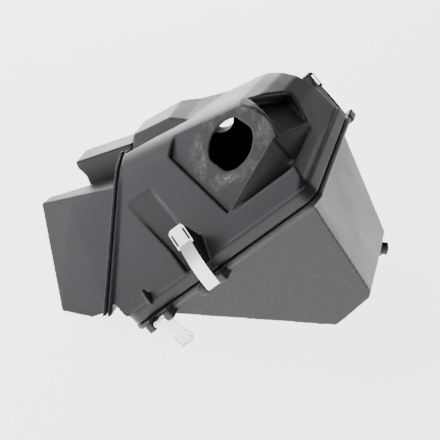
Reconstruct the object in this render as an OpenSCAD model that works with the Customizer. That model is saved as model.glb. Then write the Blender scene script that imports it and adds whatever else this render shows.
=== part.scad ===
// Air filter housing: a tilted two-part plastic box with a panel filter on its parting plane,
// a twin duct on the left, a keyed port in the leaning front and four over-centre clips.
// Frames: level_frame() is upright, rim_frame() follows the tilted rim (z across the parting).

/* [Rim] */
// Tilt of the parting plane above the horizontal, degrees
rim_tilt = 42.5; // [40:0.5:45]
// Length of the rim along its slope
rim_l = 256; // [250:1:262]
// Depth of the rim, front to back
rim_d = 237; // [232:1:242]
// Outer corner radius of the rim
rim_r = 17; // [12:1:22]
// Height of the rim's front left corner above the ground
rim_z = 38; // [36:0.5:40]

/* [Cover] */
// Lean of the cover's front face, degrees from the parting plane
front_lean = 43.5; // [42:0.5:45]
// Radius of the rounded nose above the front face
nose_r = 58; // [50:1:64]
// Depth of the facet around the keyed port
facet_depth = 6; // [4:0.5:8]
// Radius of the keyed port
port_r = 28.4; // [26:0.2:30]
// Half width of the keyed port across its two flats
port_half = 25.5; // [23:0.5:26]
// Inner radius of the rear outlet
outlet_r = 18; // [16:0.5:19]

/* [Clips] */
// Width of a clip's band
clip_w = 16; // [12:1:18]
// Height of a long clip, pin to crown
clip_h = 69; // [64:1:72]
// Height of the short corner clip
corner_clip_h = 41; // [36:1:41]
// Sheet thickness of a clip
clip_t = 1.2; // [1:0.1:1.6]
// Radius of a clip's pin
pin_r = 1.6; // [1.4:0.1:1.8]

/* [Mounts] */
// Spacing of the feet, left to right
foot_x = 171; // [165:1:175]
// Spacing of the feet, front to back
foot_y = 70; // [60:1:75]
// Bolt hole radius of a foot sleeve
foot_bore_r = 3.25; // [3:0.05:3.5]

/* [Hidden] */
$fn = 96;
rim_x = -46.271;
rim_y = -119.393;
eps = 0.01;

// Rim stack: cover flange 0 to -cover_rim, a narrow joint, lower flange down to -lower_rim
rim_left = -14.7;
rim_right = rim_left + rim_l;
cover_rim = 14;
joint_gap = 0.8;
lower_rim = 20.4;
rim_proud = 1.5;
seat_z = -cover_rim - 7.6;
seat_floor = 4.4;
body_inset = 2.5;
shell_ratio = 0.975;
lower_ratio = 0.97;

// Filter panel on the parting plane
panel_x0 = 36;
panel_x1 = 220;
panel_y0 = 12;
panel_y1 = rim_d - 12;
ledge_w = 14;
frame_w = 16;

// Clip stations: place of each pin along the rim
pin_out = 12.6;
pin_drop = 21;
front_clip_x = 101;
corner_clip_x = 25;
rear_right_x = 224;
rear_left_x = 55;
clip_reach = 1.2;
// The front clips lean back towards the leaning front face
clip_lean = 18;
clip_play = 0.9;
corner_catch_w = 5;

// Duct flange plane, which leans a little to the left
duct_x = -35;
duct_lean = 7.8;
flange_t = 4.5;
seal_t = 1;

// Feet, measured from the rim's front left corner
foot_x0 = 14;
foot_y0 = 95;
outlet_x = 118;
outlet_z = 74;
collar_wall = 3;

function centre(pts) = [for (k = [0:len(pts[0]) - 1]) sum_of([for (p = pts) p[k]]) / len(pts)];
function sum_of(v, i = 0) = i < len(v) ? v[i] + sum_of(v, i + 1) : 0;
// Moves every edge of an outline out by m, keeping its corners sharp
function turn(pts) = sign(sum_of([for (i = [0:len(pts) - 1]) let (p = pts[i], q = pts[(i + 1) % len(pts)])
    p.x * q.y - q.x * p.y]));
function edge_normal(p, q) = [q.y - p.y, p.x - q.x] / norm(q - p);
function grown(pts, m) = let (last = len(pts) - 1, side = m * turn(pts)) [for (i = [0:last])
    let (before = pts[i == 0 ? last : i - 1], after = pts[i == last ? 0 : i + 1])
    let (a = edge_normal(before, pts[i]), b = edge_normal(pts[i], after))
    pts[i] + side * (a + b) / (1 + a * b)];

module level_frame() translate([rim_x, rim_y, rim_z]) children();
module rim_frame() level_frame() rotate([0, -rim_tilt, 0]) children();
module front_frame() translate([0, body_inset, 0]) rotate([front_lean, 0, 0]) children();
module duct_frame() level_frame() translate([duct_x, 0, 0]) rotate([0, -duct_lean, 0]) children();
// Draws an outline of (y, z) points and pushes it along x
module along_x(x0, x1) translate([x0, 0, 0]) rotate([90, 0, 90]) linear_extrude(x1 - x0) children();
// Draws an outline of (x, z) points and pushes it along y
module along_y(y0, y1) translate([0, y1, 0]) rotate([90, 0, 0]) linear_extrude(y1 - y0) children();

// Flat rectangle with round corners, between two corner points
module round_rect(x0, x1, y0, y1, r) {
    translate([x0 + r, y0]) square([x1 - x0 - 2 * r, y1 - y0]);
    translate([x0, y0 + r]) square([x1 - x0, y1 - y0 - 2 * r]);
    for (x = [x0 + r, x1 - r], y = [y0 + r, y1 - r]) translate([x, y]) circle(r);
}
module round_plate(x0, x1, y0, y1, r, z0, z1) {
    translate([0, 0, z0]) linear_extrude(z1 - z0) round_rect(x0, x1, y0, y1, r);
}

// ---- Upper cover ----

// Side outline of the cover in (x, z): the left edge lies on the duct's flange plane
cover_side = [[-12, -1], [-17, 4.4], [-27, 21.8], [60, 147.5], [150, 150], [186, 94], [200, 90],
              [214, 80], [225, 66], [233, 46], [239, 8], [239, -1]];
crease = 157.5;
crease_turn = 16.2;
top_turn = 44.7;
nose_end = [crease + nose_r * sin(top_turn), nose_r * (cos(top_turn) - 1)];
nose_outline = concat([[-80, 0]],
    [for (a = [0:4:44]) [crease + nose_r * sin(a), nose_r * (cos(a) - 1)]],
    [nose_end, nose_end + 260 * [cos(top_turn), -sin(top_turn)], [-80, -300]]);
ridge_side = [[-5, 53], [46, 127], [67, 123], [98, 117.5], [118, 105], [150, 91], [150, 53]];
// The top falls away behind the nose; this outline leans back and trims it
back_fall = 5.5;
back_side = concat([[-200, -80], [-200, 172], [20, 128], [150, 101.5]], [for (k = [5:10]) cover_side[k]],
                   [[241, -80]]);
ridge_outline = concat([[150, 60], [150, 93.4]],
    [for (a = [135:-9:18]) [205 + 30 * cos(a), 106 + 30 * sin(a)]],
    [[rim_d - body_inset, 110], [rim_d - body_inset, 60]]);

module cover_loaf() {
    intersection() {
        along_y(0, rim_d - body_inset) polygon(cover_side);
        front_frame() rotate([0, 0, -crease_turn]) along_x(-150, 420) polygon(nose_outline);
        round_plate(-60, 239.5, body_inset, rim_d - body_inset, rim_r, -2, 170);
        translate([0, 120, 0]) rotate([-back_fall, 0, 0]) along_y(-140, 160) polygon(back_side);
    }
}
module cover_base() {
    difference() {
        cover_loaf();
        translate([-60, 165, 123]) rotate([0, 90, 0]) cylinder(r = 22, h = 260);
    }
    intersection() {
        along_y(140, rim_d - body_inset) polygon(ridge_side);
        along_x(-30, 200) polygon(ridge_outline);
        round_plate(-60, 239.5, body_inset, rim_d - body_inset, rim_r, 0, 170);
    }
}
facet_outline = [[102.7, 134.3], [147.2, 30.1], [250, 85], [250, 200], [135, 200], [112, 152]];
corner_outline = [[147.2, 21.8], [227.4, 52.9], [236.5, 128], [250, 128], [250, 19], [200, 20]];
pit_outline = [[162, 27.5], [222, 50.5], [230, 50], [228, 27]];
// Pocket beside the plateau, drawn on a plane that leans to the right
pocket_lean = 56.3;
pocket_at = [204.4, 121.5, 86.9];
pocket_depth = 9;
pocket_outline = [[3, 2], [40, 52], [68, 8.6], [47, -57]];
channel_depth = 9;
channel_fall = 4.2;
channel_outline = [[79.8, -8], [66, 35.7], [30.5, 120], [67.7, 116], [86.7, 58], [115.5, -8]];

// The hollows pressed into the cover; m grows them so that the wall behind keeps its thickness
module cover_recesses(m) {
    front_frame() translate([0, 0, -facet_depth - m]) linear_extrude(90) polygon(grown(facet_outline, m));
    translate([0, 0, 19 - m]) linear_extrude(150) polygon(grown(corner_outline, m));
    translate([0, 0, 5 - m]) linear_extrude(60) polygon(grown(pit_outline, m));
    translate(pocket_at) rotate([0, pocket_lean, 0]) translate([0, 0, -pocket_depth - m]) linear_extrude(60)
        polygon(grown(pocket_outline, m));
    front_frame() translate([0, 0, -m]) rotate([channel_fall, 0, 0]) translate([0, 0, -channel_depth])
        linear_extrude(40) polygon(grown(channel_outline, m));
}
// Wedge that a clip's crown reaches over; its face stands just inside the band
module catch_tower(h, w) {
    face = 0.6;
    ledge = 3;
    low = pin_drop - 7;
    high = h - clip_t - clip_play;
    back = face + ledge;
    along_x(-w / 2, w / 2) polygon([[face, low], [face, high], [back, high], [back + high - low, low]]);
}
module front_station(x) translate([x, -pin_out, -pin_drop]) children();
module front_closed(x) front_station(x) rotate([-clip_lean, 0, 0]) children();
module rear_station(x) translate([x, rim_d + pin_out, -pin_drop]) rotate([0, 0, 180]) children();

module cover_towers() {
    intersection() {
        union() {
            front_closed(front_clip_x) catch_tower(clip_h, clip_w + 1);
            front_closed(corner_clip_x) catch_tower(corner_clip_h, corner_catch_w);
        }
        translate([-60, -20, -2]) cube([400, 100, 200]);
    }
    rear_station(rear_right_x) catch_tower(clip_h, clip_w + 1);
    rear_station(rear_left_x) catch_tower(clip_h, clip_w + 1);
}
module duct_joint_outline(m) {
    // Outline of the duct joint in (y, z) on the flange plane
    polygon(grown([[8, -15], [108, 96], [122, 109], [150, 120], [170, 109], [186, 112], [204, 122],
                   [230, 116], [234, 40], [200, -8], [60, -18]], m));
}
module cover_cavity() {
    centre_of_walls = [115, 118.5, -cover_rim];
    difference() {
        translate(centre_of_walls) scale(shell_ratio) translate(-centre_of_walls) cover_base();
        cover_recesses(2.4);
    }
}
module upper_cover() color([0.16, 0.16, 0.17]) {
    difference() {
        union() {
            rim_frame() {
                round_plate(rim_left, rim_right, 0, rim_d, rim_r, -cover_rim, 0);
                difference() {
                    cover_base();
                    cover_recesses(0);
                }
                cover_towers();
            }
            duct_frame() along_x(-0.5, flange_t) duct_joint_outline(0);
        }
        rim_frame() {
            cover_cavity();
            round_plate(panel_x0 + ledge_w, panel_x1 - ledge_w, panel_y0 + ledge_w, panel_y1 - ledge_w,
                        8, -cover_rim - 1, 4);
            front_frame() port_cut(0);
            translate([outlet_x, rim_d - 20, outlet_z]) rotate([-90, 0, 0])
                cylinder(r = outlet_r + collar_wall, h = 40);
        }
        duct_frame() along_x(-20, 12) duct_openings();
        // Trims the flange level with its plane
        duct_frame() translate([-60.5, -50, -200]) cube([60, 400, 500]);
    }
}
port_x = 175.2;
port_y = 102;
module port_cut(extra) {
    translate([port_x, port_y, -40]) rotate([0, 0, 28.1]) linear_extrude(60) intersection() {
        circle(port_r + extra);
        square([2 * (port_half + extra), 4 * port_r], center = true);
    }
}
module duct_openings() {
    polygon([[50, 0], [112, 70], [146, 68], [112, 0]]);
    translate([206, 70]) circle(22);
}

// ---- Lower housing ----

lower_side = [[27.2, -lower_rim], [153.9, -143], [174.4, -141], [186.5, -139.4], [202.5, -137.7],
              [210.5, -131.3], [218.4, -90.3], [226.8, -50.4], [233.7, -lower_rim]];
module lower_form() {
    intersection() {
        along_y(0, rim_d) polygon(lower_side);
        along_x(0, 300) polygon([[1, -lower_rim], [25, -145], [178, -145], [rim_d - 1, -lower_rim]]);
        // The right wall turns in a little towards the back
        translate([233.7, 16, -lower_rim]) rotate([0, 12.3, 0]) rotate([0, 0, 2.2])
            translate([-400, -100, -200]) cube([400, 400, 220]);
    }
}
module clip_lugs() {
    // Two ears on the rim that hold a clip's pin
    for (s = [-1, 1]) {
        translate([s * (clip_w / 2 + 5) - 4.5, -4, -4.5]) cube([9, pin_out + 8, 10]);
    }
}
module clip_notch() {
    translate([-clip_w / 2 - 0.5, -10, -6]) cube([clip_w + 1, pin_out + 2, 20]);
    rotate([0, 90, 0]) cylinder(r = pin_r, h = clip_w + 22, center = true);
}
module stations() {
    front_station(front_clip_x) children();
    front_station(corner_clip_x) children();
    rear_station(rear_right_x) children();
    rear_station(rear_left_x) children();
}
module feet(x0 = foot_x0, y0 = foot_y0) {
    for (x = [x0, x0 + foot_x], y = [y0, y0 + foot_y]) translate([x, y, -rim_z]) children();
}
module lower_housing() color([0.19, 0.19, 0.20]) {
    centre_of_walls = [130, rim_d / 2, -lower_rim];
    difference() {
        union() {
            rim_frame() {
                round_plate(rim_left - rim_proud, rim_right + rim_proud, -rim_proud, rim_d + rim_proud,
                            rim_r + rim_proud, -lower_rim, -cover_rim - joint_gap);
                lower_form();
                stations() clip_lugs();
            }
            level_frame() {
                for (y = [foot_y0, foot_y0 + foot_y]) {
                    translate([foot_x0, y, -24]) cylinder(r = 9, h = 8);
                    translate([foot_x0 + foot_x, y, -24]) cylinder(r = 9, h = 25);
                }
                translate([224, 168, 20]) rotate([0, 90, 0]) cylinder(r = 4.5, h = 24);
            }
        }
        rim_frame() {
            difference() {
                translate(centre_of_walls) scale(lower_ratio) translate(-centre_of_walls) lower_form();
                translate([0, 0, seat_z - seat_floor]) cube([300, rim_d, 16]);
            }
            round_plate(panel_x0 + ledge_w, panel_x1 - ledge_w, panel_y0 + ledge_w, panel_y1 - ledge_w,
                        6, seat_z - 10, 0);
            round_plate(panel_x0 - 1, panel_x1 + 1, panel_y0 - 1, panel_y1 + 1, 8, seat_z, 0);
            stations() clip_notch();
            // Short slots along the front edge of the lower flange
            for (x = [60, 152, 190]) translate([x, -rim_proud - 1, -lower_rim - 1]) cube([1.6, 3, 6]);
        }
        level_frame() {
            feet() translate([0, 0, 11]) cylinder(r = 6, h = 14);
            translate([150, 130, -10]) cylinder(r = 5, h = 20);
        }
        // Air inlet in the back wall
        rim_frame() translate([120, rim_d - 60, -62]) rotate([-90, 0, 0]) cylinder(r = 24, h = 80);
    }
}

// ---- Twin duct ----

// Each horn is the hull of a mouth at the flange and its open end
front_horn_root = [[-1, 17, -14], [-1, 115, 91], [-1, 157, 90], [-1, 120, -16]];
front_horn_fold = [[-22, 22, -23], [-67, 125, 65]];
front_horn_end = [[-65, 42, -26], [-112, 147, 59], [-106, 161, 61], [-66, 110, -24]];
back_horn_root = [[-1, 176, 40], [-1, 182, 116], [-1, 228, 114], [-1, 232, 40]];
back_horn_end = [[-60, 178, 32], [-75, 182, 95], [-77, 226, 93], [-62, 230, 32]];
module solid_between(points) hull() for (p = points) translate(p) cube(eps);
module horn_bore(root, tip, inset) {
    c0 = centre(root);
    c1 = centre(tip);
    solid_between(concat([for (p = root) c0 + (p - c0) * inset + [8, 0, 0]],
                         [for (p = tip) c1 + (p - c1) * inset + (c1 - c0) * 0.2]));
}
module twin_duct() color([0.15, 0.15, 0.17]) duct_frame() {
    difference() {
        union() {
            along_x(-seal_t - flange_t - 0.5, -seal_t - 0.5) duct_joint_outline(-0.5);
            translate([-seal_t - 0.5, 0, 0]) {
                solid_between(concat(front_horn_root, front_horn_fold, front_horn_end));
                solid_between(concat(back_horn_root, back_horn_end));
            }
        }
        horn_bore(front_horn_root, front_horn_end, 0.88);
        horn_bore(back_horn_root, back_horn_end, 0.88);
        translate([-89, 170, 65]) rotate([-90, 0, 0]) cylinder(r = 26, h = 80);
    }
}
module duct_seal() color([0.08, 0.08, 0.08]) duct_frame() {
    difference() {
        along_x(-seal_t - 0.5, -0.5) duct_joint_outline(-3);
        along_x(-10, 10) duct_openings();
    }
}

// Four self-tapping screws through the duct's flange, between and beside the horns
module duct_screws() color([0.75, 0.75, 0.77]) duct_frame() {
    for (p = [[166, 98], [166, 40], [226, 20], [150, -4]]) {
        translate([-seal_t - flange_t - 3, p.x, p.y]) rotate([0, 90, 0]) {
            cylinder(r = 4, h = 2.5);
            cylinder(r = 2, h = 12);
        }
    }
}

// Rubber sleeve in the back wall that the outlet hose slides over
module outlet_collar() color([0.09, 0.09, 0.09]) rim_frame() {
    translate([outlet_x, rim_d - body_inset, outlet_z]) rotate([-90, 0, 0]) difference() {
        union() {
            translate([0, 0, -3]) cylinder(r = outlet_r + collar_wall, h = 19);
            cylinder(r = outlet_r + 6, h = 3);
        }
        translate([0, 0, -4]) cylinder(r = outlet_r, h = 40);
    }
}

// ---- Filter ----

seal_h = 2.2;
frame_top = -cover_rim - 0.3 - seal_h;
frame_bottom = seat_z + 0.2;
module panel_ring(z0, z1, width) {
    difference() {
        round_plate(panel_x0, panel_x1, panel_y0, panel_y1, 8, z0, z1);
        round_plate(panel_x0 + width, panel_x1 - width, panel_y0 + width, panel_y1 - width, 6,
                    z0 - 1, z1 + 1);
    }
}
module filter_frame() color([0.85, 0.45, 0.12]) rim_frame() panel_ring(frame_bottom, frame_top, frame_w);
module filter_seal() color([0.1, 0.1, 0.1]) rim_frame() panel_ring(frame_top, frame_top + seal_h, 9);
pleats = 20;
pleat_pitch = (panel_x1 - panel_x0 - 2 * frame_w - 1) / pleats;
pleat_top = -cover_rim - 4.1;
pleat_bottom = pleat_top - 21.5;
paper = 1.2;
module filter_media() color([0.93, 0.9, 0.8]) rim_frame() {
    x0 = panel_x0 + frame_w + 0.5;
    folds = [for (i = [0:2 * pleats]) [x0 + i * pleat_pitch / 2, i % 2 == 0 ? pleat_top : pleat_bottom]];
    back = [for (i = [2 * pleats:-1:0]) folds[i] + [0, paper * 3]];
    along_y(panel_y0 + frame_w, panel_y1 - frame_w) polygon(concat(folds, back));
}
mesh_bar = 1.4;
module filter_mesh() color([0.6, 0.6, 0.62]) rim_frame() {
    x0 = panel_x0 + frame_w;
    x1 = panel_x1 - frame_w;
    y0 = panel_y0 + frame_w;
    y1 = panel_y1 - frame_w;
    translate([0, 0, pleat_bottom - 1.6]) {
        for (i = [0:6]) translate([x0 + i * (x1 - x0 - mesh_bar) / 6, y0, 0])
            cube([mesh_bar, y1 - y0, mesh_bar]);
        for (i = [0:8]) translate([x0, y0 + i * (y1 - y0 - mesh_bar) / 8, 0])
            cube([x1 - x0, mesh_bar, mesh_bar]);
    }
}

// ---- Clips ----

// One stamped clip, closed: rolled eye on the pin, bowed band, wide crown with two slots
module clip(h) {
    bow = 2.6;
    band_y = -3.2;
    slot_h = 0.19 * h;
    crown = 0.68 * h;
    half = clip_w / 2 + 2.2;
    difference() {
        union() {
            rotate([0, 90, 0]) cylinder(r = 3.2, h = clip_w, center = true);
            along_x(-clip_w / 2, clip_w / 2) polygon(concat(
                [for (a = [0:12:180]) [band_y - bow * sin(a), a / 180 * 0.72 * h]],
                [for (a = [180:-12:0]) [band_y + clip_t - bow * sin(a), a / 180 * 0.72 * h]]));
            along_x(-half, half) polygon([
                [band_y, crown], [band_y, h - 2], [band_y + 1.6, h], [0.6 + clip_reach, h],
                [0.6 + clip_reach, h - clip_t], [band_y + 2, h - clip_t], [band_y + clip_t, h - 2.6],
                [band_y + clip_t, crown]]);
        }
        // The crown's corners are cut off at a slant
        for (s = [0, 1]) mirror([s, 0, 0]) along_y(-9, 5) polygon([
            [half - 3.5, h + 1], [half + 1, h - 4.5], [half + 1, h + 1]]);
        for (s = [0, 1]) mirror([s, 0, 0]) along_y(-9, 5) polygon([
            [half + 1, crown - 1], [half + 1, crown + 1], [half - 2.4, crown - 1]]);
        rotate([0, 90, 0]) cylinder(r = pin_r + 0.06, h = clip_w + 10, center = true);
        for (s = [-1, 1]) translate([s * (half - 2.4) - 1.2, -8, 0.75 * h - 1]) cube([2.4, 9, slot_h]);
    }
}
module front_clip() color([0.86, 0.87, 0.9]) rim_frame() {
    front_closed(front_clip_x) clip(clip_h);
}
// The corner clip hangs open below its pin
corner_open = 196;
module corner_clip() color([0.86, 0.87, 0.9]) rim_frame() {
    front_station(corner_clip_x) rotate([corner_open, 0, 0]) clip(corner_clip_h);
}
module rear_right_clip() color([0.86, 0.87, 0.9]) rim_frame() rear_station(rear_right_x) clip(clip_h);
module rear_left_clip() color([0.86, 0.87, 0.9]) rim_frame() rear_station(rear_left_x) clip(clip_h);
module clip_pins() color([0.7, 0.71, 0.74]) rim_frame() {
    stations() rotate([0, 90, 0]) cylinder(r = pin_r, h = clip_w + 18, center = true);
}

// ---- Feet, drain and side peg ----

module mount_bushes() color([0.07, 0.07, 0.07]) level_frame() feet() difference() {
    union() {
        cylinder(r = 11, h = 11.9);
        translate([0, 0, 11]) cylinder(r = 6, h = 12);
    }
    translate([0, 0, -1]) cylinder(r = foot_bore_r + 1, h = 40);
}
module mount_sleeves() color([0.78, 0.78, 0.8]) level_frame() feet() difference() {
    translate([0, 0, 1]) cylinder(r = foot_bore_r + 1, h = 22);
    translate([0, 0, -1]) cylinder(r = foot_bore_r, h = 40);
}
module drain_valve() color([0.07, 0.07, 0.07]) level_frame() translate([150, 130, 0]) difference() {
    union() {
        translate([0, 0, -16]) cylinder(r = 5, h = 20);
        translate([0, 0, -6]) cylinder(r = 8, h = 3);
    }
    translate([0, 0, -13]) cylinder(r = 3, h = 30);
    translate([-0.5, -4, -17]) cube([1, 8, 6]);
}
module side_grommet() color([0.07, 0.07, 0.07]) level_frame() translate([238, 168, 20]) {
    rotate([0, 90, 0]) difference() {
        union() {
            cylinder(r = 7, h = 9);
            cylinder(r = 9, h = 2.5);
        }
        translate([0, 0, -1]) cylinder(r = 4.5, h = 12);
    }
}
upper_cover();
lower_housing();
twin_duct();
duct_seal();
duct_screws();
outlet_collar();
filter_frame();
filter_seal();
filter_media();
filter_mesh();
front_clip();
corner_clip();
rear_right_clip();
rear_left_clip();
clip_pins();
mount_bushes();
mount_sleeves();
drain_valve();
side_grommet();
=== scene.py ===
"""Air filter housing: finish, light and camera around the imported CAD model. Metres, in the CAD frame."""
import math

import bmesh
import bpy
from mathutils import Matrix, Vector


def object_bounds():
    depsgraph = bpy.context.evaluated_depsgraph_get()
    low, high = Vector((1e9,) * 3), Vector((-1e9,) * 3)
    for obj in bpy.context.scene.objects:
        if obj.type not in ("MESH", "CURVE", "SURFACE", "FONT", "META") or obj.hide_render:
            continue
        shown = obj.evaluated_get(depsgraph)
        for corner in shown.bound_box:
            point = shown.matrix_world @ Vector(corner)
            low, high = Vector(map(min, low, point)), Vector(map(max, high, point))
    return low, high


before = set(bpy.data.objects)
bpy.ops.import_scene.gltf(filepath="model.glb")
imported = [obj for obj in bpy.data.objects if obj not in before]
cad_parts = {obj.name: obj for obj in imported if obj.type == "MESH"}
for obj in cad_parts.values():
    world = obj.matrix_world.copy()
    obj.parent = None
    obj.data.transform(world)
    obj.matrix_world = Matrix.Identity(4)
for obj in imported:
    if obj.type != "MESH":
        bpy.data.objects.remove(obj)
cad_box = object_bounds()
mm = 0.001

# Driving places, the same as in the CAD source
rim_tilt = math.radians(42.5)
front_lean = math.radians(43.5)
rim_corner = Vector((-46.271, -119.393, 38)) * mm
body_inset = 2.5 * mm
port_on_front = Vector((175.2, 102, -6)) * mm
to_rim = Matrix.Translation(rim_corner) @ Matrix.Rotation(-rim_tilt, 4, "Y")
to_front = to_rim @ Matrix.Translation((0, body_inset, 0)) @ Matrix.Rotation(front_lean, 4, "X")

# The mouldings' even mesh: its grid, how strongly it is relaxed, and the share of triangles kept
body_grid = 1.3 * mm
duct_grid = 1.0 * mm
relax_strength = 0.5
kept_triangles = 0.35

# Bevels on the pieces that are not remeshed
clip_bevel = 0.3 * mm
rubber_bevel = 0.5 * mm
pin_bevel = 0.2 * mm
filter_frame_bevel = 0.6 * mm
bevel_segments = 2
flat_within = math.radians(0.6)
sharp_from = math.radians(24)

# The photograph's view, with the camera placed from the rim's corner
camera_offset = Vector((333, -1041.5, 640)) * mm
camera_elevation = 26
camera_azimuth = 13
camera_lens = 98.18
camera_sensor = 36

# The white table and room
floor_half_width = 6
floor_glow = 3.4
sky_strength = 0.8
sky_up = Vector((0.22, -0.12, 1.0))
sky_bluish = (0.05, 0.07, 0.10)

black = (0, 0, 0)
white = (1, 1, 1)


# ---- Small helpers for node materials ----

class Nodes:
    """Builds one material's node tree; put() adds a node, join() links two sockets."""

    def __init__(self, name):
        self.material = bpy.data.materials.new(name)
        self.material.use_nodes = True
        self.tree = self.material.node_tree
        self.shader = self.tree.nodes["Principled BSDF"]

    def put(self, kind, **values):
        node = self.tree.nodes.new(kind)
        for key, value in values.items():
            if key in node.inputs:
                node.inputs[key].default_value = value
            else:
                setattr(node, key, value)
        return node

    def join(self, source, target):
        self.tree.links.new(source, target)

    def place(self):
        """Coordinates in the part's own frame."""
        return self.put("ShaderNodeTexCoord").outputs["Object"]

    def noise(self, vector, scale, detail=4.0, rough=0.55):
        node = self.put("ShaderNodeTexNoise", Scale=scale, Detail=detail, Roughness=rough)
        self.join(vector, node.inputs["Vector"])
        return node.outputs["Fac"]

    def ramp(self, value, stops):
        """stops: (position, tone), with three or four numbers to a tone."""
        node = self.put("ShaderNodeValToRGB")
        while len(node.color_ramp.elements) < len(stops):
            node.color_ramp.elements.new(0.5)
        for element, (at, tone) in zip(node.color_ramp.elements, stops):
            element.position = at
            element.color = tone if len(tone) == 4 else (*tone, 1)
        self.join(value, node.inputs["Fac"])
        return node.outputs["Color"]

    def math(self, operation, a, b):
        """a and b are sockets or numbers."""
        node = self.put("ShaderNodeMath", operation=operation)
        for socket, value in zip(node.inputs, (a, b)):
            if isinstance(value, (int, float)):
                socket.default_value = value
            else:
                self.join(value, socket)
        return node.outputs[0]

    def mix(self, amount, a, b):
        """amount is a socket; a and b are sockets or colours."""
        node = self.put("ShaderNodeMix", data_type="RGBA")
        factor, first, second = node.inputs[0], node.inputs[6], node.inputs[7]
        self.join(amount, factor)
        for socket, value in ((first, a), (second, b)):
            if isinstance(value, tuple):
                socket.default_value = value if len(value) == 4 else (*value, 1)
            else:
                self.join(value, socket)
        return node.outputs[2]

    def bump(self, layers):
        """layers: (height, strength, distance), one bump on top of the other."""
        last = None
        for height, strength, distance in layers:
            node = self.put("ShaderNodeBump", Strength=strength, Distance=distance)
            self.join(height, node.inputs["Height"])
            if last:
                self.join(last, node.inputs["Normal"])
            last = node.outputs["Normal"]
        self.join(last, self.shader.inputs["Normal"])

    def colour(self, source):
        self.join(source, self.shader.inputs["Base Color"])

    def roughness(self, source):
        self.join(source, self.shader.inputs["Roughness"])


def set_finish(nodes, **values):
    for key, value in values.items():
        nodes.shader.inputs[key.replace("_", " ")].default_value = value


def grey(tone, blue=0.0):
    return (tone, tone, tone * (1 + blue), 1)


# ---- Materials ----

def moulded_plastic(name, tone, blue):
    """Spark-eroded black polypropylene: fine grain, cloudy sheen, faint dust and hairline scratches."""
    nodes = Nodes(name)
    place = nodes.place()
    clouds = nodes.noise(place, 14, 5, 0.6)
    dust = nodes.noise(place, 160, 8, 0.7)
    grain = nodes.noise(place, 2600, 2, 0.6)
    stretched = nodes.put("ShaderNodeMapping", Scale=(30, 900, 240), Rotation=(0.3, 0.7, 0.5))
    nodes.join(place, stretched.inputs["Vector"])
    scratches = nodes.noise(stretched.outputs[0], 1.0, 3, 0.5)
    hairlines = nodes.ramp(scratches, [(0.66, black), (0.72, white)])
    base = nodes.mix(clouds, grey(tone * 0.85, blue), grey(tone * 1.15, blue))
    settled = nodes.ramp(dust, [(0.55, black), (0.8, (0.22, 0.22, 0.22))])
    dusty = nodes.mix(settled, base, grey(tone * 4))
    worn = nodes.mix(nodes.math("MULTIPLY", hairlines, 0.022), dusty, grey(0.35))
    nodes.colour(worn)
    nodes.roughness(nodes.ramp(clouds, [(0.3, grey(0.36)), (0.7, grey(0.47))]))
    nodes.bump([(grain, 0.16, 0.0003), (dust, 0.05, 0.0006)])
    set_finish(nodes, Specular_IOR_Level=0.32)
    return nodes


def scuffed_cover(name, tone):
    """The cover's plastic, with the rubbed ring that a hose elbow leaves around the keyed port."""
    nodes = moulded_plastic(name, tone, blue=0.14)
    place = nodes.place()
    offset = nodes.put("ShaderNodeVectorMath", operation="DISTANCE")
    nodes.join(place, offset.inputs[0])
    offset.inputs[1].default_value = to_front @ port_on_front
    from_port = offset.outputs["Value"]
    wobble = nodes.noise(place, 60, 4, 0.6)
    uneven = nodes.math("ADD", from_port, nodes.math("MULTIPLY", wobble, 0.012))
    decimetres = nodes.math("MULTIPLY", uneven, 10)
    ring = nodes.ramp(decimetres, [(0.36, black), (0.42, white), (0.56, (0.7, 0.7, 0.7)), (0.66, black)])
    streaks = nodes.put("ShaderNodeCombineXYZ")
    nodes.join(nodes.math("MULTIPLY", from_port, 900), streaks.inputs["X"])
    nodes.join(nodes.math("MULTIPLY", nodes.noise(place, 45, 2, 0.5), 14), streaks.inputs["Y"])
    rubs = nodes.ramp(nodes.noise(streaks.outputs[0], 1.0, 4, 0.65), [(0.48, black), (0.62, white)])
    specks = nodes.ramp(nodes.noise(place, 700, 6, 0.75), [(0.46, black), (0.64, white)])
    patches = nodes.ramp(nodes.noise(place, 55, 4, 0.6), [(0.46, black), (0.62, white)])
    strongest = nodes.math("MAXIMUM", rubs, nodes.math("MULTIPLY", specks, 0.7))
    wear = nodes.math("MULTIPLY", ring, nodes.math("MULTIPLY", strongest, patches))
    under = nodes.shader.inputs["Base Color"].links[0].from_socket
    nodes.colour(nodes.mix(nodes.math("MULTIPLY", wear, 0.42), under, grey(0.32, -0.12)))
    return nodes


def zinc_plate(name, tone=0.78):
    """Bright zinc on stamped steel: rolled grain and a cloudy passivation tint."""
    nodes = Nodes(name)
    place = nodes.place()
    rolled = nodes.put("ShaderNodeMapping", Scale=(1400, 60, 60))
    nodes.join(place, rolled.inputs["Vector"])
    lines = nodes.noise(rolled.outputs[0], 1.0, 4, 0.6)
    tint = nodes.noise(place, 70, 4, 0.6)
    cool = (tone * 0.93, tone * 0.97, tone * 1.04)
    warm = (tone * 1.04, tone * 1.02, tone * 0.96)
    plate = nodes.mix(tint, cool, warm)
    nodes.colour(nodes.mix(nodes.math("MULTIPLY", lines, 0.3), plate, grey(0.5)))
    nodes.roughness(nodes.ramp(lines, [(0.3, grey(0.16)), (0.7, grey(0.30))]))
    nodes.bump([(lines, 0.08, 0.0002)])
    set_finish(nodes, Metallic=1.0)
    return nodes


def soft_rubber(name):
    """Matt black rubber with a greyish bloom."""
    nodes = Nodes(name)
    place = nodes.place()
    bloom = nodes.noise(place, 120, 6, 0.65)
    nodes.colour(nodes.ramp(bloom, [(0.35, grey(0.012)), (0.75, grey(0.04))]))
    nodes.roughness(nodes.ramp(bloom, [(0.3, grey(0.62)), (0.7, grey(0.8))]))
    nodes.bump([(nodes.noise(place, 1500, 3), 0.1, 0.0003)])
    return nodes


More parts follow.
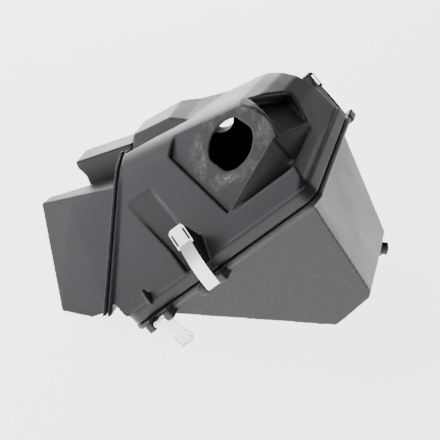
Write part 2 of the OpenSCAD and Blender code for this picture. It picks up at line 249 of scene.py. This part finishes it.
def filter_paper(name):
    """Fibrous resin-treated paper."""
    nodes = Nodes(name)
    place = nodes.place()
    fibres = nodes.noise(place, 700, 8, 0.7)
    nodes.colour(nodes.ramp(fibres, [(0.3, (0.72, 0.66, 0.5)), (0.7, (0.88, 0.83, 0.7))]))
    nodes.bump([(fibres, 0.3, 0.0004)])
    set_finish(nodes, Roughness=0.9)
    return nodes


def orange_frame(name):
    """Orange moulded plastic with a fine grain."""
    nodes = Nodes(name)
    place = nodes.place()
    clouds = nodes.noise(place, 60, 5)
    nodes.colour(nodes.ramp(clouds, [(0.3, (0.62, 0.22, 0.05)), (0.7, (0.72, 0.29, 0.08))]))
    nodes.bump([(nodes.noise(place, 1800, 2), 0.1, 0.0003)])
    set_finish(nodes, Roughness=0.6)
    return nodes


def floor_white(name):
    """A white sheet that glows, for the overexposed floor of the photograph."""
    nodes = Nodes(name)
    nodes.colour(nodes.ramp(nodes.noise(nodes.place(), 3, 3), [(0.3, grey(0.93)), (0.7, grey(0.95))]))
    set_finish(nodes, Roughness=0.8, Emission_Color=grey(1.0), Emission_Strength=floor_glow)
    return nodes


# ---- CAD nodes: rounded edges and finishes ----

def smooth_shading(thing):
    for face in thing.data.polygons:
        face.use_smooth = True
    weighted = thing.modifiers.new("normals", "WEIGHTED_NORMAL")
    weighted.keep_sharp = True


def finish_node(name, nodes, edge=0.0):
    """Gives a node its material and, with edge, small bevels on its sharp edges."""
    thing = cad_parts[name]
    thing.data.materials.clear()
    thing.data.materials.append(nodes.material)
    if edge:
        flat = thing.modifiers.new("flats", "DECIMATE")
        flat.decimate_type = "DISSOLVE"
        flat.angle_limit = flat_within
        bevel = thing.modifiers.new("edges", "BEVEL")
        bevel.width = edge
        bevel.segments = bevel_segments
        bevel.limit_method = "ANGLE"
        bevel.angle_limit = sharp_from
        smooth_shading(thing)
    return thing


def mould(name, nodes, grid, passes):
    """Rounds every edge of a moulding as a real mould does: an even fine mesh, relaxed a little."""
    thing = finish_node(name, nodes)
    remesh = thing.modifiers.new("skin", "REMESH")
    remesh.mode = "VOXEL"
    remesh.voxel_size = grid
    remesh.use_smooth_shade = True
    relax = thing.modifiers.new("radii", "SMOOTH")
    relax.factor = relax_strength
    relax.iterations = passes
    lighter = thing.modifiers.new("lighter", "DECIMATE")
    lighter.ratio = kept_triangles


cover_plastic = scuffed_cover("cover_plastic", 0.014)
housing_plastic = moulded_plastic("housing_plastic", 0.023, blue=-0.05)
duct_plastic = moulded_plastic("duct_plastic", 0.020, blue=0.10)
rubber = soft_rubber("seal_rubber")
bright_zinc = zinc_plate("clip_steel")
pin_zinc = zinc_plate("zinc_steel", 0.7)
paper = filter_paper("filter_paper")
orange = orange_frame("filter_frame_plastic")
grid_steel = zinc_plate("filter_grid_steel", 0.5)

mould("upper_cover", cover_plastic, body_grid, passes=12)
mould("lower_housing", housing_plastic, body_grid, passes=5)
mould("twin_duct", duct_plastic, duct_grid, passes=10)
for clip in ("front_clip", "corner_clip", "rear_right_clip", "rear_left_clip"):
    finish_node(clip, bright_zinc, clip_bevel)
for soft in ("duct_seal", "outlet_collar", "filter_seal", "mount_bushes", "drain_valve", "side_grommet"):
    finish_node(soft, rubber, rubber_bevel)
for hard in ("clip_pins", "duct_screws", "mount_sleeves"):
    finish_node(hard, pin_zinc, pin_bevel)
finish_node("filter_media", paper)
finish_node("filter_frame", orange, filter_frame_bevel)
finish_node("filter_mesh", grid_steel)


# ---- Floor, light and camera ----

def make_floor():
    mesh = bpy.data.meshes.new("floor")
    work = bmesh.new()
    bmesh.ops.create_grid(work, x_segments=8, y_segments=8, size=floor_half_width)
    work.to_mesh(mesh)
    work.free()
    floor = bpy.data.objects.new("floor", mesh)
    mesh.materials.append(floor_white("floor_white").material)
    bpy.context.collection.objects.link(floor)


def aim(thing, place, target):
    thing.location = place
    thing.rotation_euler = (target - place).to_track_quat("-Z", "Y").to_euler()


def softbox(name, place, target, size, power, tone=white):
    """An area lamp at place, size in metres and power in watts, turned to target."""
    data = bpy.data.lights.new(name, "AREA")
    data.shape = "RECTANGLE"
    data.size, data.size_y = size
    data.energy = power
    data.color = tone
    lamp = bpy.data.objects.new(name, data)
    bpy.context.collection.objects.link(lamp)
    aim(lamp, Vector(place), target)


def make_camera():
    data = bpy.data.cameras.new("camera")
    data.sensor_width = camera_sensor
    data.lens = camera_lens
    camera = bpy.data.objects.new("camera", data)
    camera.location = rim_corner + camera_offset
    camera.rotation_euler = (math.radians(90 - camera_elevation), 0, math.radians(camera_azimuth))
    bpy.context.collection.objects.link(camera)
    bpy.context.scene.camera = camera


def make_world():
    """A room that is white at table height and dim and bluish above."""
    world = bpy.data.worlds.new("studio")
    world.use_nodes = True
    tree = world.node_tree
    place = tree.nodes.new("ShaderNodeTexCoord")
    height = tree.nodes.new("ShaderNodeVectorMath")
    height.operation = "DOT_PRODUCT"
    height.inputs[1].default_value = sky_up.normalized()
    shade = tree.nodes.new("ShaderNodeValToRGB")
    horizon, above = shade.color_ramp.elements
    horizon.position = 0.02
    horizon.color = (*white, 1)
    above.position = 0.38
    above.color = (*sky_bluish, 1)
    background = tree.nodes["Background"]
    background.inputs["Strength"].default_value = sky_strength
    tree.links.new(place.outputs["Generated"], height.inputs[0])
    tree.links.new(height.outputs["Value"], shade.inputs["Fac"])
    tree.links.new(shade.outputs["Color"], background.inputs["Color"])
    bpy.context.scene.world = world


middle = (Vector(cad_box[0]) + Vector(cad_box[1])) / 2
make_floor()
make_camera()
softbox("overhead", (-0.8, -0.1, 1.5), middle, (1.2, 1.0), 12)
softbox("back", (-1.0, 1.7, 0.35), middle, (2.0, 0.6), 30)
softbox("left", (-1.6, 0.0, 0.7), middle, (0.9, 1.2), 12, (0.93, 0.96, 1.0))
softbox("front", (-0.3, -1.6, 0.4), middle, (1.4, 0.8), 5)
make_world()
